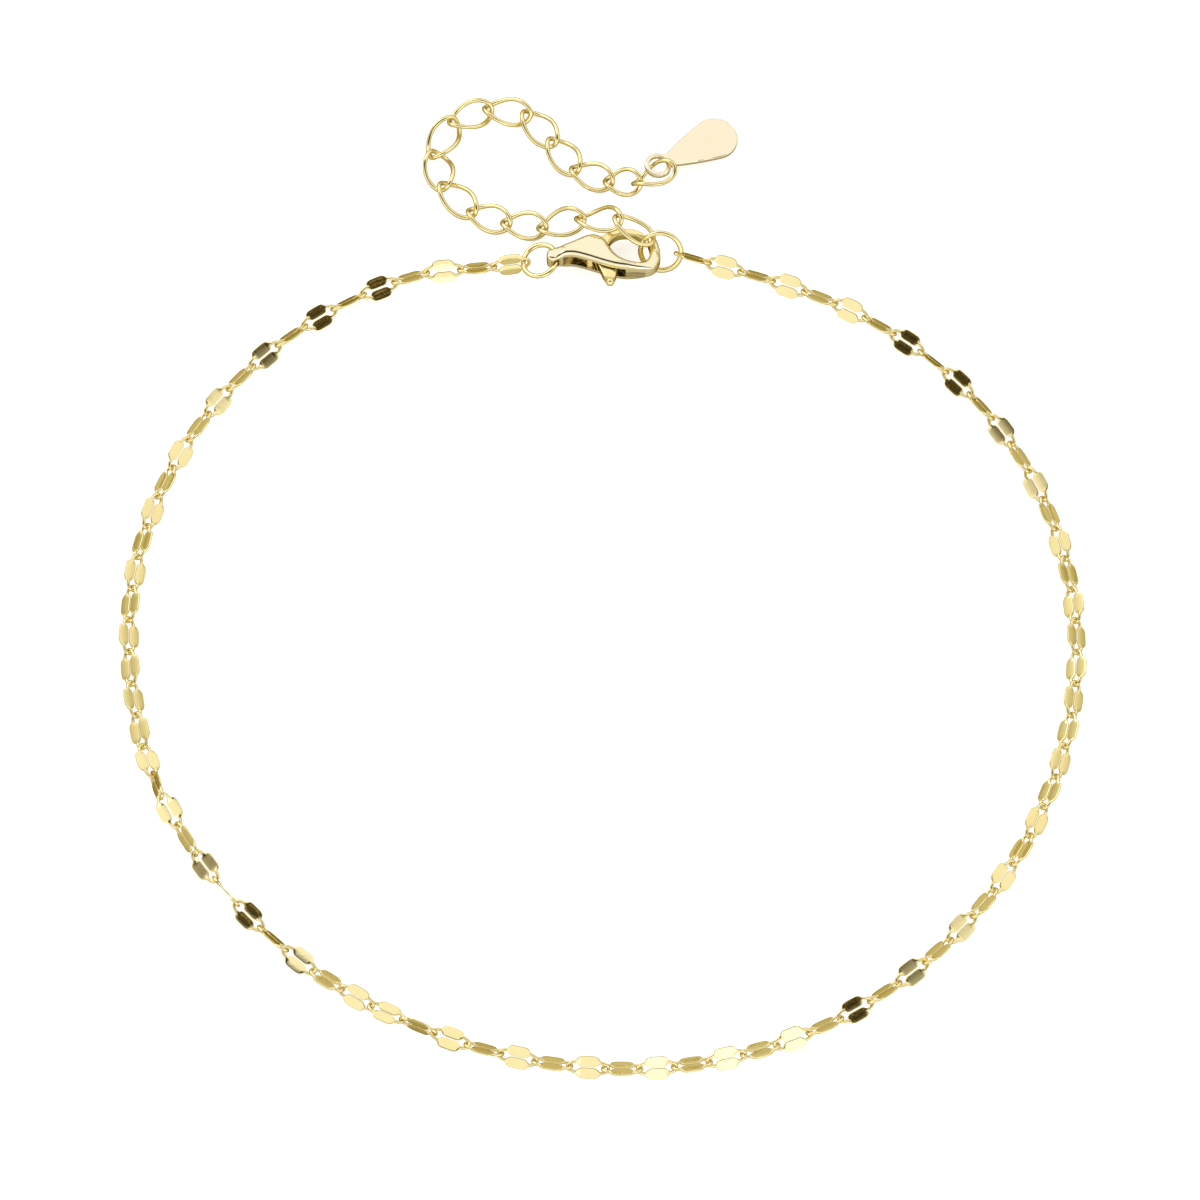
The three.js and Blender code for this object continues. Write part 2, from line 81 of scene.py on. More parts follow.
@dataclass(frozen=True)
class GoldFinish:
    """Polished gold plating with faint ripples, hairlines and rubbed patches."""

    name: str
    slot: Slot
    colour: Colour = (1.0, 0.89, 0.52)
    warm: Colour = (0.98, 0.81, 0.34)
    rim: Colour = (0.3, 0.22, 0.06)
    tint_scale: float = 420.0
    roughness: float = 0.07
    rubbed: float = 0.16
    smear_scale: float = 2600.0
    smear_spread: tuple[float, float] = (0.45, 0.75)
    ripple: float = 0.12
    ripple_scale: float = 1400.0
    hairline: float = 0.08
    hairline_scale: float = 900.0
    relief: float = 0.02

    def _noise(self, nodes: bpy.types.Nodes, links: bpy.types.NodeLinks, source: bpy.types.NodeSocket,
               scale: float, stretch: Point, detail: float) -> bpy.types.NodeSocket:
        """Adds a noise pattern that is stretched along the piece's own axes.

        Args:
            nodes: Nodes of the material.
            links: Links of the material.
            source: Object coordinates.
            scale: Cells per metre.
            stretch: How much finer the pattern is along each axis.
            detail: Octaves of finer noise.

        Returns:
            The socket that carries the pattern, from 0 to 1.
        """
        mapping = nodes.new("ShaderNodeMapping")
        mapping.inputs["Scale"].default_value = stretch
        noise = nodes.new("ShaderNodeTexNoise")
        noise.inputs["Scale"].default_value = scale
        noise.inputs["Detail"].default_value = detail
        links.new(source, mapping.inputs["Vector"])
        links.new(mapping.outputs["Vector"], noise.inputs["Vector"])
        return noise.outputs["Fac"]

    def _bump(self, nodes: bpy.types.Nodes, links: bpy.types.NodeLinks, height: bpy.types.NodeSocket,
              strength: float, below: Optional[bpy.types.NodeSocket]) -> bpy.types.NodeSocket:
        """Adds a bump as high as the finish's relief over another one.

        Args:
            nodes: Nodes of the material.
            links: Links of the material.
            height: The pattern that raises the surface.
            strength: Share of the full height.
            below: Normal of the bump underneath, or None.

        Returns:
            The normal socket.
        """
        bump = nodes.new("ShaderNodeBump")
        bump.inputs["Strength"].default_value = strength
        bump.inputs["Distance"].default_value = self.relief * MM
        links.new(height, bump.inputs["Height"])
        if below is not None:
            links.new(below, bump.inputs["Normal"])
        return bump.outputs["Normal"]

    def material(self) -> bpy.types.Material:
        """Builds the node material.

        Returns:
            The finished material.
        """
        made = bpy.data.materials.new(self.name)
        made.use_nodes = True
        nodes, links = made.node_tree.nodes, made.node_tree.links
        shader = nodes["Principled BSDF"]
        shader.inputs["Metallic"].default_value = 1.0
        shader.inputs["Specular Tint"].default_value = (*self.rim, 1)
        place = nodes.new("ShaderNodeTexCoord").outputs["Object"]

        patches = self._noise(nodes, links, place, self.tint_scale, (1, 1, 1), 3.0)
        tint = nodes.new("ShaderNodeMix")
        tint.data_type = "RGBA"
        tint.inputs["A"].default_value = (*self.warm, 1)
        tint.inputs["B"].default_value = (*self.colour, 1)
        links.new(patches, tint.inputs["Factor"])
        links.new(tint.outputs["Result"], shader.inputs["Base Color"])

        smears = self._noise(nodes, links, place, self.smear_scale, (1, 1.6, 1), 4.0)
        gloss = nodes.new("ShaderNodeMapRange")
        gloss.inputs["From Min"].default_value = self.smear_spread[0]
        gloss.inputs["From Max"].default_value = self.smear_spread[1]
        gloss.inputs["To Min"].default_value = self.roughness
        gloss.inputs["To Max"].default_value = self.rubbed
        links.new(smears, gloss.inputs["Value"])
        links.new(gloss.outputs["Result"], shader.inputs["Roughness"])

        ripples = self._noise(nodes, links, place, self.ripple_scale, (1, 1, 1), 1.0)
        hairlines = self._noise(nodes, links, place, self.hairline_scale, (1, 14, 9), 2.0)
        normal = self._bump(nodes, links, ripples, self.ripple, None)
        normal = self._bump(nodes, links, hairlines, self.hairline, normal)
        links.new(normal, shader.inputs["Normal"])
        return made


CHAIN_GOLD = GoldFinish("mirror_pressed_gold", Slot.CHAIN, roughness=0.05, rubbed=0.1, ripple=0.15,
                        ripple_scale=2200.0)
RING_GOLD = GoldFinish("polished_ring_gold", Slot.RING)
CLASP_GOLD = GoldFinish("polished_clasp_gold", Slot.CLASP, colour=(1.0, 0.92, 0.68),
                        warm=(0.99, 0.87, 0.55), ripple=0.05, ripple_scale=700.0)
LEVER_GOLD = GoldFinish("polished_lever_gold", Slot.LEVER, ripple=0.06, ripple_scale=700.0)
EXTENDER_GOLD = GoldFinish("drawn_wire_gold", Slot.EXTENDER, ripple=0.42, ripple_scale=1100.0)
TAG_GOLD = GoldFinish("burnished_tag_gold", Slot.TAG, colour=(1.0, 0.9, 0.68),
                      warm=(0.99, 0.86, 0.6), roughness=0.12, rubbed=0.2, ripple=0.04,
                      ripple_scale=500.0)


@dataclass(frozen=True)
class Spline:
    """A centripetal Catmull-Rom curve through a few points, open or closed."""

    points: tuple[Vector, ...]
    closed: bool = False

    def at(self, share: float) -> Vector:
        """Point of the curve.

        Args:
            share: From 0 at its start to 1 at its end.

        Returns:
            The point there.
        """
        points = self.points
        count = len(points)
        spans = count if self.closed else count - 1
        span = min(int(spans * share), spans - 1)
        weight = spans * share - span
        if self.closed:
            before, here, there, after = (points[(span + step) % count] for step in (-1, 0, 1, 2))
        else:
            here, there = points[span], points[span + 1]
            before = points[span - 1] if span > 0 else here * 2 - there
            after = points[span + 2] if span + 2 < count else there * 2 - here
        first = math.sqrt((before - here).length)
        middle = math.sqrt((here - there).length)
        last = math.sqrt((there - after).length)
        leave = ((here - before) / first - (there - before) / (first + middle)
                 + (there - here) / middle) * middle
        arrive = ((there - here) / middle - (after - here) / (middle + last)
                  + (after - there) / last) * middle
        bend = -3 * here + 3 * there - 2 * leave - arrive
        close = 2 * here - 2 * there + leave + arrive
        return here + leave * weight + bend * weight ** 2 + close * weight ** 3

    def sampled(self, count: int) -> list[Vector]:
        """Points at even steps of the curve's own parameter, the end left out if it is closed."""
        steps = count if self.closed else count + 1
        return [self.at(step / count) for step in range(steps)]

    def spaced(self, pitch: float, divisions: int = 200) -> list[Vector]:
        """Points at even steps of length, an even number of them.

        Args:
            pitch: The step wanted; the nearest that divides the length is used.
            divisions: Chords that the length is measured with.

        Returns:
            The points, both ends included.
        """
        chords = [self.at(step / divisions) for step in range(divisions + 1)]
        travelled = [0.0]
        for last, here in zip(chords, chords[1:]):
            travelled.append(travelled[-1] + (here - last).length)
        count = 2 * max(1, round(travelled[-1] / pitch / 2))
        spaced, chord = [], 0
        for step in range(count + 1):
            target = travelled[-1] * step / count
            while chord < divisions - 1 and travelled[chord + 1] < target:
                chord += 1
            part = (target - travelled[chord]) / (travelled[chord + 1] - travelled[chord])
            spaced.append(self.at((chord + min(max(part, 0.0), 1.0)) / divisions))
        return spaced


def wire_ring(stations: int, sides: int, place: Place) -> bmesh.types.BMesh:
    """Spins a round section into a closed ring of wire and bends it to a shape.

    Args:
        stations: Sections round the ring.
        sides: Corners of each section.
        place: Gives the place of a corner from the angle round the ring and from how far it
            is out of the wire's middle, in wire radii, in the ring's plane and square to it.

    Returns:
        The ring's mesh.
    """
    thin = 0.25
    mesh = bmesh.new()
    upright = Matrix.Translation((1, 0, 0)) @ Matrix.Rotation(math.pi / 2, 4, "X")
    section = bmesh.ops.create_circle(mesh, cap_ends=False, segments=sides, radius=thin, matrix=upright)
    corners = section["verts"]
    edges = list({edge for corner in corners for edge in corner.link_edges})
    bmesh.ops.spin(mesh, geom=corners + edges, cent=(0, 0, 0), axis=(0, 0, 1), angle=2 * math.pi,
                   steps=stations, use_merge=True)
    for corner in mesh.verts:
        angle = math.atan2(corner.co.y, corner.co.x)
        reach = (math.hypot(corner.co.x, corner.co.y) - 1) / thin
        corner.co = place(angle, reach, corner.co.z / thin)
    bmesh.ops.recalc_face_normals(mesh, faces=mesh.faces)
    return mesh


def added(target: bmesh.types.BMesh, part: bmesh.types.BMesh, matrix: Matrix) -> None:
    """Copies a part into another mesh at a place.

    Args:
        target: The mesh that gets it.
        part: The part, which is freed.
        matrix: Its place.
    """
    bmesh.ops.transform(part, matrix=matrix, verts=part.verts)
    carrier = bpy.data.meshes.new("carrier")
    part.to_mesh(carrier)
    part.free()
    target.from_mesh(carrier)
    bpy.data.meshes.remove(carrier)


def plate(outline: Outline, low: float, high: float) -> bmesh.types.BMesh:
    """A flat plate between two heights.

    Args:
        outline: Its corners, in order.
        low: Underside.
        high: Top.

    Returns:
        The plate's mesh.
    """
    mesh = bmesh.new()
    corners = [mesh.verts.new((corner.x, corner.y, low)) for corner in outline]
    face = mesh.faces.new(corners)
    raised = bmesh.ops.extrude_face_region(mesh, geom=[face])["geom"]
    moved = [item for item in raised if isinstance(item, bmesh.types.BMVert)]
    bmesh.ops.translate(mesh, verts=moved, vec=(0, 0, high - low))
    bmesh.ops.recalc_face_normals(mesh, faces=mesh.faces)
    return mesh


def rim_edges(mesh: bmesh.types.BMesh) -> list[bmesh.types.BMEdge]:
    """The edges between a plate's flat faces and its sides."""
    return [edge for edge in mesh.edges if len(edge.link_faces) == 2
            and (abs(edge.link_faces[0].normal.z) > 0.9) != (abs(edge.link_faces[1].normal.z) > 0.9)]


def rounded(mesh: bmesh.types.BMesh, radius: float, segments: int) -> None:
    """Rounds the rims of a plate.

    Args:
        mesh: The plate.
        radius: Of the rounding.
        segments: Faces across it.
    """
    bmesh.ops.bevel(mesh, geom=rim_edges(mesh), offset=radius, segments=segments, profile=0.5,
                    affect="EDGES", material=-1, clamp_overlap=True)


def cut(blank: bmesh.types.BMesh, cutters: Sequence[bmesh.types.BMesh]) -> bmesh.types.BMesh:
    """Cuts closed shapes out of a blank.

    Args:
        blank: What is cut, which is freed.
        cutters: The shapes taken out of it, which are freed.

    Returns:
        What is left.
    """
    made: list[bpy.types.Object] = []
    for mesh in (blank, *cutters):
        data = bpy.data.meshes.new("blank")
        mesh.to_mesh(data)
        mesh.free()
        made.append(bpy.data.objects.new("blank", data))
        bpy.context.scene.collection.objects.link(made[-1])
    for cutter in made[1:]:
        step = made[0].modifiers.new("cut", "BOOLEAN")
        step.operation = "DIFFERENCE"
        step.object = cutter
        step.solver = "EXACT"
    bpy.context.view_layer.update()
    left = bmesh.new()
    evaluated = made[0].evaluated_get(bpy.context.evaluated_depsgraph_get())
    left.from_mesh(evaluated.to_mesh())
    evaluated.to_mesh_clear()
    for used in made:
        data = used.data
        bpy.data.objects.remove(used)
        bpy.data.meshes.remove(data)
    return left


@dataclass
class Bench:
    """Where the anklet's own axes lie in the frame, and how its pieces are handed over."""

    offset: Vector
    pieces: list[str] = field(default_factory=list)
    materials: dict[str, bpy.types.Material] = field(default_factory=dict)

    def finish(self, mesh: bmesh.types.BMesh, name: str, finish: GoldFinish, body: Body,
               nodes: Sequence[str], crease: Optional[float] = None) -> bpy.types.Object:
        """Turns a mesh in millimetres into a dressed piece that stands for its CAD nodes.

        Args:
            mesh: The piece in the anklet's own axes, which is freed.
            name: The piece's name.
            finish: Its finish.
            body: The body that it rides on.
            nodes: The CAD nodes that it stands for.
            crease: Angle in degrees above which an edge stays sharp, or None.

        Returns:
            The finished object.
        """
        onto_frame = Matrix.Scale(MM, 4) @ Matrix.Translation(self.offset)
        bmesh.ops.transform(mesh, matrix=onto_frame, verts=mesh.verts)
        for face in mesh.faces:
            face.smooth = True
        if crease is not None:
            for edge in mesh.edges:
                edge.smooth = edge.calc_face_angle(0.0) < math.radians(crease)
        data = bpy.data.meshes.new(name)
        mesh.to_mesh(data)
        mesh.free()
        piece = bpy.data.objects.new(name, data)
        bpy.context.scene.collection.objects.link(piece)
        if finish.name not in self.materials:
            self.materials[finish.name] = finish.material()
        data.materials.append(self.materials[finish.name])
        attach(piece, body.value)
        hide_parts(*nodes)
        self.pieces.append(name)
        LOG.info("%s: %d faces on %s", name, len(data.polygons), body.value)
        return piece


def link_frame(start: Vector, end: Vector, roll: float) -> Matrix:
    """Frame of a link between two joints.

    Args:
        start: Its first joint.
        end: Its second joint.
        roll: Radians about the line between them; at 0 it lies flat.

    Returns:
        The matrix with the link's length along x and its width along y.
    """
    along = (end - start).normalized()
    side = along.cross(Vector((0, 0, 1))).normalized()
    normal = side.cross(along)
    across = side * math.cos(roll) + normal * math.sin(roll)
    through = along.cross(across)
    turned = Matrix((along, across, through)).transposed().to_4x4()
    return Matrix.Translation((start + end) / 2) @ turned


def eased(share: float) -> float:
    """Smooth step from 0 to 1."""
    share = min(max(share, 0.0), 1.0)
    return share * share * (3 - 2 * share)


def domed(share: float) -> float:
    """Quarter circle from 1 down to 0."""
    return math.sqrt(1 - min(max(share, 0.0), 1.0) ** 2)


def span_share(distance: float, start: float, end: float) -> float:
    """How far a distance is from the end of a stretch, 1 at its start and 0 at its end."""
    return (end - distance) / (end - start)


def signed_power(value: float, power: float) -> float:
    """A power of a value's size that keeps its sign."""
    return math.copysign(abs(value) ** power, value)


@dataclass
class Clasp:
    """Lobster clasp: body with its slot and eye, and the sprung lever on its pin."""

    origin: Vector = field(default_factory=lambda: Vector((0, 29.69, 1.38)))
    roll: float = -12.0
    thickness: float = 2.1
    edge: float = 0.12
    rounding: tuple[float, float] = (0.16, 0.38)
    rounding_steps: int = 5
    chamfer: tuple[float, float] = (0.19, 0.1)
    inset_share: float = 0.85
    slot_height: float = 1.0
    tail_thickness: float = 1.5
    hook_thinning: float = 0.52
    hook_from: float = 2.2
    hook_end: float = 4.8
    eye: Point = (0.76, 4.0, 0.74)
    eye_x: float = -3.6
    pivot: tuple[float, float] = (-0.15, 0.55)
    pin_radius: float = 0.2
    pin_gap: float = 0.1
    lever_thickness: float = 0.8
    lever_edge: float = 0.14
    soft_edge: float = 0.035
    outline_steps: int = 150
    lever_steps: int = 102
    ball_radius: float = 0.36
    ball: tuple[float, float] = (0.82, -2.5)
    outline: tuple[tuple[float, float], ...] = (
        (4.08, 1.85), (4.45, 1.6), (4.7, 0.9), (4.8, 0.1), (4.68, -0.75), (4.3, -1.33), (3.7, -1.52),
        (2.5, -1.55), (1.4, -1.42), (0.3, -1.07), (-1.0, -0.57), (-2.2, -0.22), (-3.2, -0.33),
        (-3.85, -0.58), (-4.17, -0.4), (-4.17, 0.2), (-3.8, 0.42), (-2.7, 0.75), (-1.7, 1.26),
        (-0.95, 1.63), (-0.35, 1.66), (0.15, 1.38), (0.55, 0.85), (0.9, 0.12), (1.4, -0.5),
        (2.1, -0.92), (2.9, -1.08), (3.6, -0.95), (4.05, -0.45), (4.2, 0.25), (4.12, 0.9), (4.0, 1.4))
    slot: tuple[tuple[float, float], ...] = (
        (-3.0, -2.2), (-3.0, -0.1), (-2.4, 0.2), (-1.5, 0.72), (-1.05, 0.95), (-1.0, 2.4),
        (1.3, 2.4), (1.3, -0.3), (1.55, -0.9), (2.1, -1.4), (3.7, -1.4), (3.7, -2.2))
    lever: tuple[tuple[float, float], ...] = (
        (-0.5, 1.3), (0.5, 2.2), (1.5, 2.68), (2.7, 2.65), (3.6, 2.15), (3.55, 1.65), (2.7, 2.03),
        (1.6, 2.05), (0.95, 1.6), (0.72, 0.9), (0.95, 0.0), (1.34, -1.5), (1.16, -2.3),
        (0.47, -2.3), (0.06, -1.5), (-0.5, 0.2), (-0.66, 0.7))

    def place(self) -> Matrix:
        """The clasp's own axes in the anklet's."""
        return Matrix.Translation(self.origin) @ Matrix.Rotation(math.radians(self.roll), 4, "X")

    def pin_place(self) -> Vector:
        """Middle of the pin in the anklet's axes."""
        return self.place() @ Vector((*self.pivot, 0))

    def half_height(self, x: float) -> float:
        """Half the body's thickness at a place along it, thinner towards the hook and the tail."""
        full = self.thickness / 2
        hook = self.hook_thinning * max(0.0, x - self.hook_from) / (self.hook_end - self.hook_from)
        tail = (full - self.tail_thickness / 2) * eased((self.eye_x + 0.9 - x) / 0.8)
        return full - hook - tail

    def rim_profile(self) -> list[tuple[float, float]]:
        """The rim from the side wall up to the flat face, as way inward and height."""
        (inward, down), (sloped_in, sloped_down) = self.rounding, self.chamfer
        last = math.pi / 2 - math.atan2(sloped_down, sloped_in)
        foot = self.thickness / 2 - down - sloped_down
        profile = []
        for step in range(self.rounding_steps + 1):
            turn = last * step / self.rounding_steps
            profile.append((inward * (1 - math.cos(turn)) / (1 - math.cos(last)),
                            foot + down * math.sin(turn) / math.sin(last)))
        profile.append((inward + sloped_in, self.thickness / 2))
        profile.append((inward + sloped_in + FLAT_RIM, self.thickness / 2))
        return profile

    def blank_mesh(self) -> bmesh.types.BMesh:
        """Builds the body without its openings, raised loop by loop from its underside.

        Returns:
            The closed blank in the clasp's axes.
        """
        face = Spline(tuple(Vector((*point, 0)) for point in self.outline), closed=True)
        face = face.sampled(self.outline_steps)
        outward = []
        for before, after in zip(face[-1:] + face[:-1], face[1:] + face[:1]):
            run = (after - before).normalized()
            outward.append(Vector((-run.y, run.x, 0)))
        wall = [here + out * self.edge for here, out in zip(face, outward)]
        profile = self.rim_profile()
        reach = profile[-1][0]
        rooms = []
        for here, out in zip(wall, outward):
            touching = [(other - here).length_squared / (2 * (here - other).dot(out))
                        for other in wall if (here - other).dot(out) > 1e-4]
            rooms.append(min(reach, self.inset_share * min(touching)))
        eased_rooms = [min(rooms[number - 1], rooms[number], rooms[(number + 1) % len(rooms)])
                       for number in range(len(rooms))]
        lower = [(inset, -height) for inset, height in reversed(profile)]
        loops = lower + profile
        mesh = bmesh.new()
        number_of = mesh.verts.layers.int.new("corner")
        for number, here in enumerate(wall):
            mesh.verts.new(here)[number_of] = number
        cap = mesh.faces.new(mesh.verts)
        for step, (inset, height) in enumerate(loops):
            if step:
                raised = bmesh.ops.extrude_face_region(mesh, geom=[cap])["geom"]
                if step > 1:
                    bmesh.ops.delete(mesh, geom=[cap], context="FACES_ONLY")
                cap = next(item for item in raised if isinstance(item, bmesh.types.BMFace))
            for corner in cap.verts:
                number = corner[number_of]
                moved = wall[number] - outward[number] * (eased_rooms[number] * inset / reach)
                corner.co = (moved.x, moved.y, height * self.half_height(moved.x) / (self.thickness / 2))
        bmesh.ops.recalc_face_normals(mesh, faces=mesh.faces)
        return mesh

    def body_mesh(self) -> bmesh.types.BMesh:
        """Builds the body with its proud sides, slot, eye and pin.

        Returns:
            The body in the clasp's axes.
        """
        blank = self.blank_mesh()
        slot = plate([Vector((*point, 0)) for point in self.slot], -self.slot_height / 2,
                     self.slot_height / 2)
        eye = bmesh.new()
        bmesh.ops.create_cube(eye, size=1, matrix=Matrix.Translation((self.eye_x, 0, 0))
                              @ Matrix.Diagonal((*self.eye, 1)))
        body = cut(blank, [slot, eye])
        pin = bmesh.new()
        bmesh.ops.create_cone(pin, cap_ends=True, segments=20, radius1=self.pin_radius,
                              radius2=self.pin_radius, depth=self.slot_height + 0.2)
        added(body, pin, Matrix.Translation((*self.pivot, 0)))
        return body

    def lever_mesh(self) -> bmesh.types.BMesh:
        """Builds the lever with its gate, hub and ball-ended trigger.

        Returns:
            The lever in the clasp's axes.
        """
        outline = Spline(tuple(Vector((*point, 0)) for point in self.lever), closed=True)
        lever = plate(outline.sampled(self.lever_steps), -self.lever_thickness / 2,
                      self.lever_thickness / 2)
        rounded(lever, self.lever_edge, 3)
        bore = bmesh.new()
        radius = self.pin_radius + self.pin_gap
        bmesh.ops.create_cone(bore, cap_ends=True, segments=24, radius1=radius, radius2=radius,
                              depth=2 * self.lever_thickness, matrix=Matrix.Translation((*self.pivot, 0)))
        lever = cut(lever, [bore])
        ball = bmesh.new()
        bmesh.ops.create_uvsphere(ball, u_segments=24, v_segments=16, radius=self.ball_radius)
        added(lever, ball, Matrix.Translation((*self.ball, 0)))
        return lever

    def build(self, bench: Bench) -> None:
        """Builds and dresses the body and the lever.

        Args:
            bench: Takes the finished pieces.
        """
        for mesh, name, finish, owner in (
                (self.body_mesh(), "clasp_shell", CLASP_GOLD, Body.ROOT),
                (self.lever_mesh(), "clasp_gate", LEVER_GOLD, Body.LEVER)):
            bmesh.ops.transform(mesh, matrix=self.place(), verts=mesh.verts)
            node = "clasp_body" if owner is Body.ROOT else "clasp_lever"
            piece = bench.finish(mesh, name, finish, owner, [node], crease=38.0)
            soft = piece.modifiers.new("soft_edges", "BEVEL")
            soft.width = self.soft_edge * MM
            soft.segments = 2
            soft.limit_method = "ANGLE"
            soft.angle_limit = math.radians(50)
            soft.harden_normals = True


@dataclass
class Ring:
    """A round ring of polished wire."""

    name: str
    node: str
    radius: float
    wire: float
    place: Matrix
    oval: float = 1.0

    def build(self, bench: Bench) -> None:
        """Builds and dresses the ring.

        Args:
            bench: Takes the finished piece.
        """
        def corner(angle: float, reach: float, rise: float) -> Vector:
            """Place of a corner of the wire."""
            out = self.radius + reach * self.wire / 2
            return Vector((out * math.cos(angle), out * math.sin(angle) * self.oval,
                           rise * self.wire / 2))

        mesh = wire_ring(72, 20, corner)
        bmesh.ops.transform(mesh, matrix=self.place, verts=mesh.verts)
        bench.finish(mesh, self.name, RING_GOLD, Body.ROOT, [self.node])


@dataclass
class Rings:
    """The jump ring in the clasp's hook and the ring in its tail."""

    clasp: Clasp
    gap: float = 0.1
    jump_radius: float = 1.66
    jump_wire: float = 0.42
    jump_centre: Vector = field(default_factory=lambda: Vector((4.95, 30.17, 1.48)))
    jump_tilt: float = 50.0
    jump_heading: float = -8.0
    tail_radius: float = 1.42
    tail_wire: float = 0.4
    tail_oval: float = 1.06
    tail_left_z: float = 0.66
    tail_roll: float = -8.0
    tail_shift: float = -0.1

    def tail_right(self) -> Vector:
        """Middle of the tail ring's wire where it passes through the clasp's eye."""
        clasp = self.clasp
        x = clasp.origin.x + clasp.eye_x + clasp.eye[0] / 2 - self.tail_wire / 2 - self.gap
        return Vector((x, clasp.origin.y + self.tail_shift, clasp.origin.z))

    def tail_pitch(self) -> float:
        """How far the tail ring dips towards the chain, in radians."""
        return math.asin((self.tail_right().z - self.tail_left_z) / 2 / self.tail_radius)

    def tail_left(self) -> Vector:
        """Middle of the tail ring's wire where the chain hangs on it."""
        reach = self.tail_radius * math.cos(self.tail_pitch())
        right = self.tail_right()
        return Vector((right.x - 2 * reach, right.y, self.tail_left_z))

    def jump_place(self) -> Matrix:
        """The jump ring's own axes."""
        return (Matrix.Translation(self.jump_centre)
                @ Matrix.Rotation(math.radians(self.jump_heading), 4, "Z")
                @ Matrix.Rotation(math.radians(self.jump_tilt), 4, "X"))

    def tail_place(self) -> Matrix:
        """The tail ring's own axes."""
        centre = (self.tail_right() + self.tail_left()) / 2
        return (Matrix.Translation(centre) @ Matrix.Rotation(math.radians(self.tail_roll), 4, "X")
                @ Matrix.Rotation(-self.tail_pitch(), 4, "Y"))

    def build(self, bench: Bench) -> None:
        """Builds both rings.

        Args:
            bench: Takes the finished pieces.
        """
        Ring("hook_ring", "jump_ring", self.jump_radius, self.jump_wire, self.jump_place()).build(bench)
        Ring("eye_ring", "tail_ring", self.tail_radius, self.tail_wire, self.tail_place(),
             self.tail_oval).build(bench)


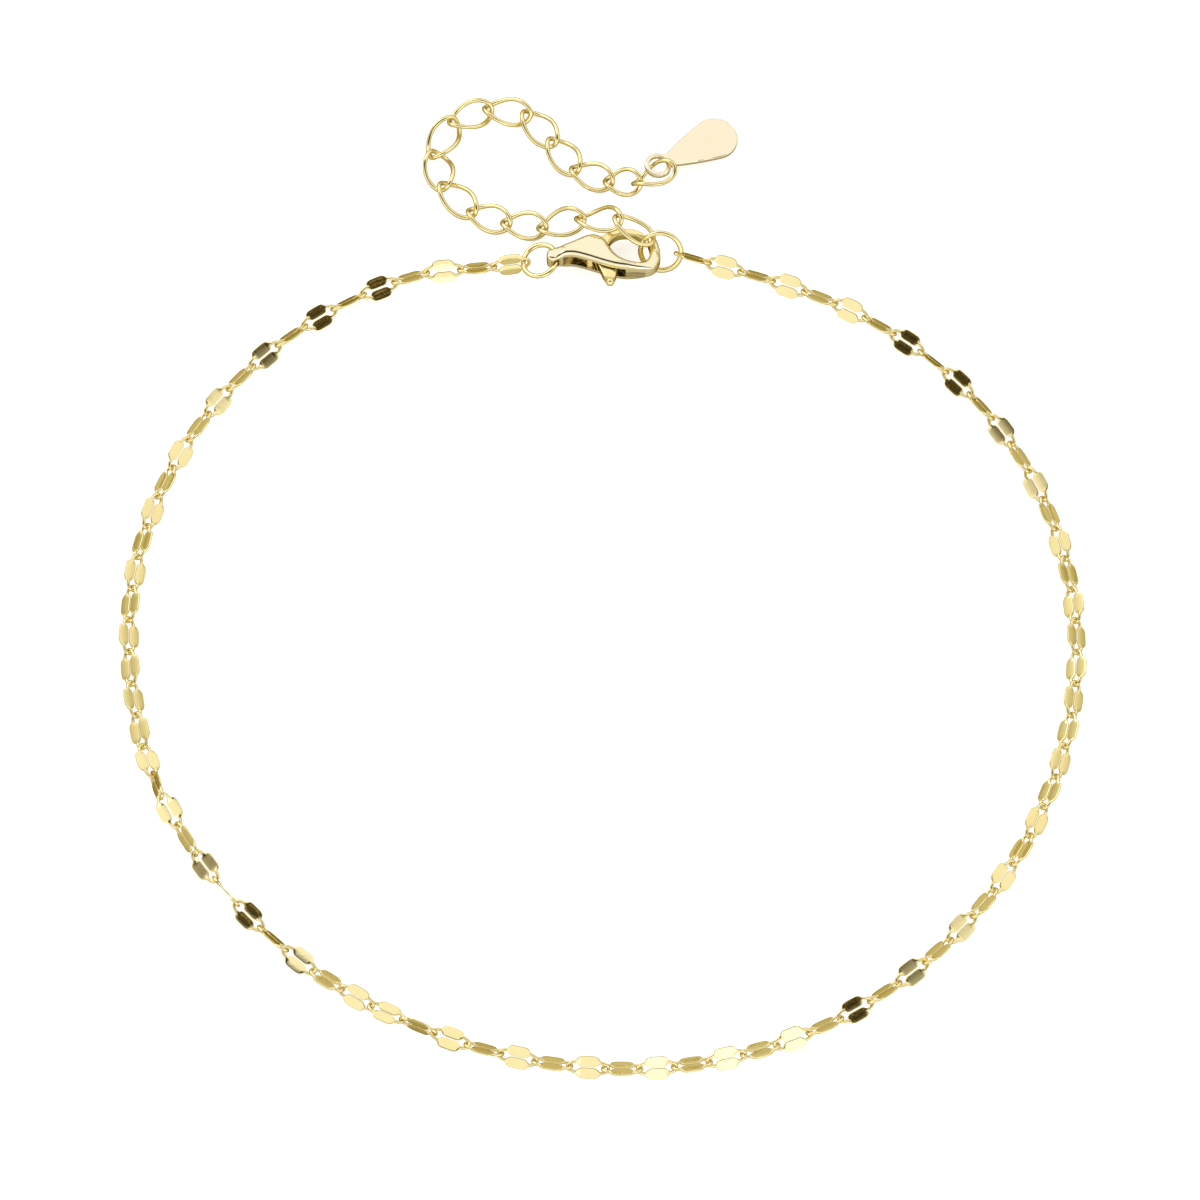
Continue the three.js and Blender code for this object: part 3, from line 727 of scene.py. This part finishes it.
@dataclass
class SequinChain:
    """The chain of oval links whose long sides are pressed into flat mirrors."""

    rings: Rings
    pitch: float = 2.72
    wire: float = 0.29
    half_width: float = 0.5
    sequin_width: float = 0.88
    sequin_thickness: float = 0.13
    sequin_ends: tuple[float, float] = (0.4, 0.86)
    press: tuple[float, float] = (0.74, 0.88)
    drawn: float = 0.26
    fullness: float = 2.7
    squareness: float = 5.0
    bite: float = 0.05
    hang_gap: float = 0.1
    play: float = 0.03
    kink: Point = (-34.5, -17.8, 1.5)
    left: tuple[Point, ...] = (
        (-9.1, 29.05, 0), (-14.37, 28.56, 0), (-21.68, 25.28, 0), (-28.2, 20.18, 0),
        (-33.26, 13.52, 0), (-36.46, 5.76, 0), (-37.6, -2.22, 0), (-36.73, -10.64, 0),
        (-35.3, -15.7, 0.25))
    right: tuple[Point, ...] = (
        (-33.3, -19.7, 0.1), (-30.19, -24.3, 0), (-24.64, -30.07, 0), (-17.76, -34.75, 0),
        (-10.64, -37.83, 0), (-2.66, -39.64, 0), (5.6, -39.76, 0), (13.66, -37.98, 0),
        (20.85, -34.53, 0), (27.23, -29.43, 0), (32.37, -23.01, 0), (35.95, -15.64, 0),
        (37.8, -7.52, 0), (37.69, 0.65, 0), (35.59, 8.54, 0), (31.45, 15.82, 0), (25.72, 21.7, 0),
        (18.82, 26.01, 0), (11.12, 28.82, 0), (8.75, 29.5, 0.05))
    rolls: tuple[tuple[int, float, float], ...] = (
        (0, 58, -38), (1, 40, -38), (3, 34, -42), (4, 23, -52), (6, 23, -52), (9, 30, -45),
        (14, 38, -38), (21, 38, -38), (23, 10, -70), (25, -20, -68), (26, -19, -95),
        (28, -19, -108), (30, -2, -128), (31, -25, -145), (33, -62, -160), (35, -105, -178),
        (36, -133, -200), (37, -140, -222), (44, -147, -223), (47, -128, -203), (51, -135, -210),
        (56, -142, -218), (64, -143, -218), (68, -153, -228), (70, -162, -237), (72, -162, -237),
        (74, -143, -218), (79, -140, -230))

    def roll(self, link: int) -> float:
        """Roll of a link about the route, in radians, even and odd links on their own tables."""
        after = max(1, next((n for n, row in enumerate(self.rolls) if row[0] >= link), 1))
        low, high = self.rolls[after - 1], self.rolls[after]
        share = min(max((link - low[0]) / (high[0] - low[0]), 0.0), 1.0)
        column = 1 + link % 2
        return math.radians(low[column] + (high[column] - low[column]) * share)

    def rest_height(self, roll: float) -> float:
        """Half the height that a link takes up when it is rolled like this."""
        edge = self.half_width + self.sequin_width / 2
        return edge * abs(math.sin(roll)) + self.wire / 2 * abs(math.cos(roll))

    def joints(self) -> list[Vector]:
        """Joints of the chain from the tail ring round to the jump ring."""
        rings = self.rings
        hung = self.hang_gap + self.bite / 2
        start = rings.tail_left() + Vector((rings.tail_wire / 2 + hung, 0, 0))
        reach = Vector((rings.jump_radius - rings.jump_wire / 2 - hung, 0, 0))
        end = rings.jump_centre + Matrix.Rotation(math.radians(rings.jump_heading), 3, "Z") @ reach
        start.z -= self.rest_height(self.roll(0))
        end.z -= self.rest_height(self.roll(self.rolls[-1][0]))
        kink = Vector(self.kink)
        joints = Spline((start, *map(Vector, self.left), kink)).spaced(self.pitch)
        joints += Spline((kink, *map(Vector, self.right), end)).spaced(self.pitch)[1:]
        links = len(joints) - 1
        for number, joint in enumerate(joints):
            joint.z += max(self.rest_height(self.roll(max(0, number - 1))),
                           self.rest_height(self.roll(min(links - 1, number))))
        return joints

    def link_mesh(self, chord: float) -> bmesh.types.BMesh:
        """Builds one link about its middle.

        Args:
            chord: Distance between its two joints.

        Returns:
            The link, long along x and flat in the plane of x and y.
        """
        half_length = chord / 2 + self.wire / 2 + self.play / 2

        def corner(angle: float, reach: float, rise: float) -> Vector:
            """Place of a corner: round at the ends and pressed flat along both sides."""
            along, aside, power = math.cos(angle), math.sin(angle), 2 / self.fullness
            middle = Vector((half_length * signed_power(along, power),
                             self.half_width * signed_power(aside, power), 0))
            out = Vector((signed_power(along, 2 - power) / half_length,
                          signed_power(aside, 2 - power) / self.half_width, 0))
            out.normalize()
            broad = domed(1 - span_share(abs(middle.x), *self.sequin_ends))
            flat = eased(span_share(abs(middle.x), *self.press))
            square = 1 / (1 + self.squareness * flat)
            wide = self.drawn / 2 + (self.sequin_width - self.drawn) / 2 * broad
            thick = self.drawn / 2 + (self.sequin_thickness - self.drawn) / 2 * flat
            across = signed_power(reach, square) * wide
            return middle + out * across + Vector((0, 0, signed_power(rise, square) * thick))

        return wire_ring(60, 14, corner)

    def build(self, bench: Bench) -> None:
        """Builds and dresses the two halves of the chain.

        Args:
            bench: Takes the finished pieces.
        """
        joints = self.joints()
        links = len(joints) - 1
        half = round(links / 2)
        for side, first, last in (("left", 0, half), ("right", half, links)):
            whole = bmesh.new()
            for link in range(first, last):
                start, end = joints[link], joints[link + 1].copy()
                if link + 1 == half:
                    end += (end - start).normalized() * (self.bite + self.hang_gap)
                added(whole, self.link_mesh((end - start).length),
                      link_frame(start, end, self.roll(link)))
            bench.finish(whole, f"mirror_links_{side}", CHAIN_GOLD, Body.ROOT, [f"sequin_chain_{side}"])


@dataclass
class Extender:
    """The extender's twisted oval links, from the jump ring to the tag."""

    wire: float = 0.39
    half_width: float = 1.14
    twist: float = 42.0
    first_twist: float = 14.0
    reach: float = 0.33
    hammered: float = 0.06
    joints: tuple[Point, ...] = (
        (4.02, 30.89, 2.22), (1.47, 32.36, 3.0), (-1.6, 33.2, 1.5), (-4.72, 32.87, 0.5),
        (-7.67, 33.22, 0.5), (-10.48, 34.24, 0.5), (-12.81, 36.63, 0.5), (-13.6, 39.49, 0.5),
        (-12.09, 42.48, 0.5), (-9.22, 43.69, 0.5), (-6.02, 43.22, 0.5), (-3.9, 40.69, 0.5),
        (-2.05, 38.12, 0.5), (0.72, 37.03, 0.5), (3.03, 36.87, 0.66), (5.8, 37.7, 1.6))
    rolls: dict[int, float] = field(default_factory=lambda: {1: -26.0, 2: -10.0, 15: 24.0})

    def link_mesh(self, chord: float, number: int) -> bmesh.types.BMesh:
        """Builds one twisted link about its middle.

        Args:
            chord: Distance between its two joints.
            number: Its number, which sets where its wire is beaten thinner.

        Returns:
            The link, long along x.
        """
        half_length = chord / 2 + self.reach
        twist = math.radians(self.first_twist if number == 1 else self.twist)

        def corner(angle: float, reach: float, rise: float) -> Vector:
            """Place of a corner of the wire, turned with the link's twist."""
            out = Vector((self.half_width * math.cos(angle), half_length * math.sin(angle), 0))
            out.normalize()
            beaten = 1 - self.hammered * (1 + math.sin(3 * angle + number * 1.7)) / 2
            radius = self.wire / 2 * beaten
            point = Vector((half_length * math.cos(angle), self.half_width * math.sin(angle), 0))
            point += out * (reach * radius) + Vector((0, 0, rise * radius))
            return Matrix.Rotation(twist * math.cos(angle), 3, "X") @ point

        return wire_ring(60, 16, corner)

    def build(self, bench: Bench) -> None:
        """Builds and dresses every link as its own piece.

        Args:
            bench: Takes the finished pieces.
        """
        for number in range(1, len(self.joints)):
            start, end = Vector(self.joints[number - 1]), Vector(self.joints[number])
            mesh = self.link_mesh((end - start).length, number)
            place = link_frame(start, end, math.radians(self.rolls.get(number, 0.0)))
            bmesh.ops.transform(mesh, matrix=place, verts=mesh.verts)
            bench.finish(mesh, f"twisted_link_{number:02d}", EXTENDER_GOLD, Body.ROOT,
                         [f"extender_link_{number:02d}"])


@dataclass
class Tag:
    """The plain teardrop tag with its own ring."""

    length: float = 7.4
    thickness: float = 0.45
    edge: float = 0.11
    ring_radius: float = 1.1
    hole_radius: float = 0.735
    round_radius: float = 1.85
    neck_half_width: float = 0.62
    neck_end: float = 0.25
    flank: tuple[float, float] = (1.24, 0.76)
    round_angle: float = 102.0
    centre: Vector = field(default_factory=lambda: Vector((4.75, 38.13, 1.2)))
    heading: float = 31.0

    def outline(self) -> Outline:
        """The tag's edge, from its ring's neck round the ring and the drop."""
        neck_x = math.sqrt(self.ring_radius ** 2 - self.neck_half_width ** 2)
        neck = math.asin(self.neck_half_width / self.ring_radius)
        meet = math.radians(self.round_angle)
        round_x = self.length - self.round_radius
        start = Vector((neck_x + self.neck_end, self.neck_half_width, 0))
        bend = Vector((round_x - self.round_radius * self.flank[0],
                       self.round_radius * self.flank[1], 0))
        end = Vector((round_x + self.round_radius * math.cos(meet),
                      self.round_radius * math.sin(meet), 0))
        flip = Matrix.Diagonal((1, -1, 1))

        def side(share: float) -> Vector:
            """Point of the upper flank."""
            return start * (1 - share) ** 2 + bend * (2 * share * (1 - share)) + end * share ** 2

        ring = [self.ring_radius * Vector((math.cos(angle), math.sin(angle), 0)) for angle in
                (neck + (2 * math.pi - 2 * neck) * step / 40 for step in range(41))]
        lower = [flip @ side(step / 20) for step in range(20)]
        drop = [Vector((round_x, 0, 0)) + self.round_radius * Vector((math.cos(angle), math.sin(angle), 0))
                for angle in (-meet + 2 * meet * step / 44 for step in range(45))]
        upper = [side(1 - step / 20) for step in range(1, 21)]
        return ring + lower + drop + upper

    def build(self, bench: Bench) -> None:
        """Builds and dresses the tag.

        Args:
            bench: Takes the finished piece.
        """
        blank = plate(self.outline(), -self.thickness / 2, self.thickness / 2)
        bore = bmesh.new()
        bmesh.ops.create_cone(bore, cap_ends=True, segments=48, radius1=self.hole_radius,
                              radius2=self.hole_radius, depth=3 * self.thickness)
        mesh = cut(blank, [bore])
        rounded(mesh, self.edge, 3)
        drop = math.asin((self.centre.z - self.thickness / 2) / self.length)
        turned = Euler((0, drop, math.radians(self.heading))).to_matrix().to_4x4()
        place = Matrix.Translation(self.centre) @ turned
        bmesh.ops.transform(mesh, matrix=place, verts=mesh.verts)
        bench.finish(mesh, "teardrop_plate", TAG_GOLD, Body.ROOT, ["teardrop_tag"], crease=30.0)


@dataclass(frozen=True)
class RoomPatch:
    """A soft oval part of the room round the table, as the gold mirrors it."""

    colour: Colour
    centre: Point
    radii: Point
    core: float
    turn: float = 0.0


LEFT_WALL = RoomPatch((0.96, 0.93, 0.86), (-0.9, 0.25, 0.3), (0.6, 0.6, 0.6), core=0.42)
RIGHT_WALL = RoomPatch((0.96, 0.93, 0.86), (0.9, 0.25, 0.3), (0.6, 0.6, 0.6), core=0.42)
SKIRTING = RoomPatch((0.42, 0.37, 0.15), (0, 0.6, 0), (EVERYWHERE, 1.3, 0.4), core=0.1)
OVERHEAD = RoomPatch((0.035, 0.028, 0.012), (-0.02, -0.16, 0), (0.86, 0.36, EVERYWHERE), core=0.62,
                     turn=-15)


@dataclass
class Studio:
    """White table, soft light all round and the camera of the photograph."""

    offset: Vector
    elevation: float = 67.0
    distance: float = 0.562
    frame_width: float = 0.096
    sensor: float = 36.0
    table: float = 3.0
    table_lift: float = 0.55
    table_white: float = 0.95
    mirrored_table: Colour = (0.75, 0.7, 0.5)
    glint_colour: Colour = (0.3, 0.23, 0.1)
    glint_scale: float = 24.0
    glint_spread: tuple[float, float] = (0.52, 0.64)

    def add_table(self) -> None:
        """Adds the white table top, which the gold mirrors darker than it is."""
        mesh = bmesh.new()
        bmesh.ops.create_grid(mesh, x_segments=1, y_segments=1, size=self.table)
        data = bpy.data.meshes.new("table_top")
        mesh.to_mesh(data)
        mesh.free()
        table = bpy.data.objects.new("table_top", data)
        white = bpy.data.materials.new("white_table")
        white.use_nodes = True
        nodes, links = white.node_tree.nodes, white.node_tree.links
        shader = nodes["Principled BSDF"]
        shader.inputs["Roughness"].default_value = 0.9
        shader.inputs["Specular IOR Level"].default_value = 0.0
        shader.inputs["Emission Color"].default_value = (1, 1, 1, 1)
        ray = nodes.new("ShaderNodeLightPath")
        tone = nodes.new("ShaderNodeMix")
        tone.data_type = "RGBA"
        tone.inputs["A"].default_value = (self.table_white,) * 3 + (1,)
        tone.inputs["B"].default_value = (*self.mirrored_table, 1)
        links.new(ray.outputs["Is Glossy Ray"], tone.inputs["Factor"])
        links.new(tone.outputs["Result"], shader.inputs["Base Color"])
        lift = nodes.new("ShaderNodeMath")
        lift.operation = "MULTIPLY"
        lift.inputs[1].default_value = self.table_lift
        links.new(ray.outputs["Is Camera Ray"], lift.inputs[0])
        links.new(lift.outputs["Value"], shader.inputs["Emission Strength"])
        data.materials.append(white)
        bpy.context.scene.collection.objects.link(table)

    def add_surroundings(self) -> None:
        """Adds a white room, seen only in the gold.

        Its walls are darker at the foot, and a dark camera and operator stand overhead.
        """
        world = bpy.data.worlds.new("white_room")
        bpy.context.scene.world = world
        world.use_nodes = True
        nodes, links = world.node_tree.nodes, world.node_tree.links
        background = nodes["Background"]
        way = nodes.new("ShaderNodeTexCoord").outputs["Generated"]

        def share_of(patch: RoomPatch) -> bpy.types.NodeSocket:
            """Gives a socket that is 1 inside a patch and 0 outside."""
            oval = nodes.new("ShaderNodeMapping")
            oval.vector_type = "TEXTURE"
            oval.inputs["Location"].default_value = patch.centre
            oval.inputs["Rotation"].default_value = (0, 0, math.radians(patch.turn))
            oval.inputs["Scale"].default_value = patch.radii
            links.new(way, oval.inputs["Vector"])
            apart = nodes.new("ShaderNodeVectorMath")
            apart.operation = "LENGTH"
            links.new(oval.outputs["Vector"], apart.inputs[0])
            fade = nodes.new("ShaderNodeMapRange")
            fade.inputs["From Min"].default_value = 1.0
            fade.inputs["From Max"].default_value = patch.core
            links.new(apart.outputs["Value"], fade.inputs["Value"])
            return fade.outputs["Result"]

        def shaded(below: bpy.types.NodeSocket, share: bpy.types.NodeSocket,
                   shade: Colour) -> bpy.types.NodeSocket:
            """Lays a shade over a colour.

            Args:
                below: The colour so far.
                share: Where the shade covers it.
                shade: The colour laid over it.

            Returns:
                The mixed colour.
            """
            mix = nodes.new("ShaderNodeMix")
            mix.data_type = "RGBA"
            mix.inputs["B"].default_value = (*shade, 1)
            links.new(share, mix.inputs["Factor"])
            links.new(below, mix.inputs["A"])
            return mix.outputs["Result"]

        white = nodes.new("ShaderNodeRGB")
        white.outputs[0].default_value = (1, 1, 1, 1)
        colour = white.outputs[0]
        for patch in (LEFT_WALL, RIGHT_WALL, SKIRTING, OVERHEAD):
            share = share_of(patch)
            colour = shaded(colour, share, patch.colour)
        stir = nodes.new("ShaderNodeTexNoise")
        stir.inputs["Scale"].default_value = self.glint_scale
        stir.inputs["Detail"].default_value = 3.0
        links.new(way, stir.inputs["Vector"])
        glints = nodes.new("ShaderNodeMapRange")
        glints.inputs["From Min"].default_value = self.glint_spread[0]
        glints.inputs["From Max"].default_value = self.glint_spread[1]
        links.new(stir.outputs["Fac"], glints.inputs["Value"])
        lit = nodes.new("ShaderNodeMath")
        lit.operation = "MULTIPLY"
        links.new(share, lit.inputs[0])
        links.new(glints.outputs["Result"], lit.inputs[1])
        links.new(shaded(colour, lit.outputs["Value"], self.glint_colour), background.inputs["Color"])
        background.inputs["Strength"].default_value = 1.0

    def add_light(self, name: str, place: Point, size: float, power: float) -> None:
        """Adds a soft lamp that points at the anklet.

        Args:
            name: The lamp's name.
            place: Where it hangs, in metres.
            size: Side of its square panel.
            power: In watts.
        """
        lamp = bpy.data.lights.new(name, "AREA")
        lamp.size = size
        lamp.energy = power
        holder = bpy.data.objects.new(name, lamp)
        holder.location = place
        holder.rotation_euler = (-Vector(place)).to_track_quat("-Z", "Y").to_euler()
        bpy.context.scene.collection.objects.link(holder)

    def add_camera(self) -> None:
        """Adds the camera at the photograph's angle."""
        eye = bpy.data.cameras.new("camera")
        eye.sensor_width = self.sensor
        eye.lens = self.sensor * self.distance / self.frame_width
        eye.clip_start = 0.01
        camera = bpy.data.objects.new("camera", eye)
        angle = math.radians(self.elevation)
        target = Vector((self.offset.x, self.offset.y, 0)) * MM
        away = Vector((0, -math.cos(angle), math.sin(angle)))
        camera.location = target + away * self.distance
        camera.rotation_euler = away.to_track_quat("Z", "Y").to_euler()
        bpy.context.scene.collection.objects.link(camera)
        bpy.context.scene.camera = camera

    def build(self) -> None:
        """Sets up the whole studio."""
        self.add_table()
        self.add_surroundings()
        self.add_light("key_softbox", (-0.5, 0.5, 0.55), 0.5, 0.9)
        self.add_light("fill_softbox", (0.25, -0.75, 0.42), 0.5, 0.5)
        self.add_camera()
        bpy.context.scene.view_settings.view_transform = "Standard"


def main() -> None:
    """Builds the anklet and its studio."""
    logging.basicConfig(level=logging.INFO, format="%(name)s %(message)s")
    clasp = Clasp()
    pin = Vector(frame["joints"][0]["pos_m"]) / MM
    bench = Bench(offset=pin - clasp.pin_place())
    rings = Rings(clasp)
    for part in (clasp, rings, SequinChain(rings), Extender(), Tag()):
        part.build(bench)
    Studio(bench.offset).build()
    LOG.info("%d pieces", len(bench.pieces))


if __name__ == "__main__":
    main()
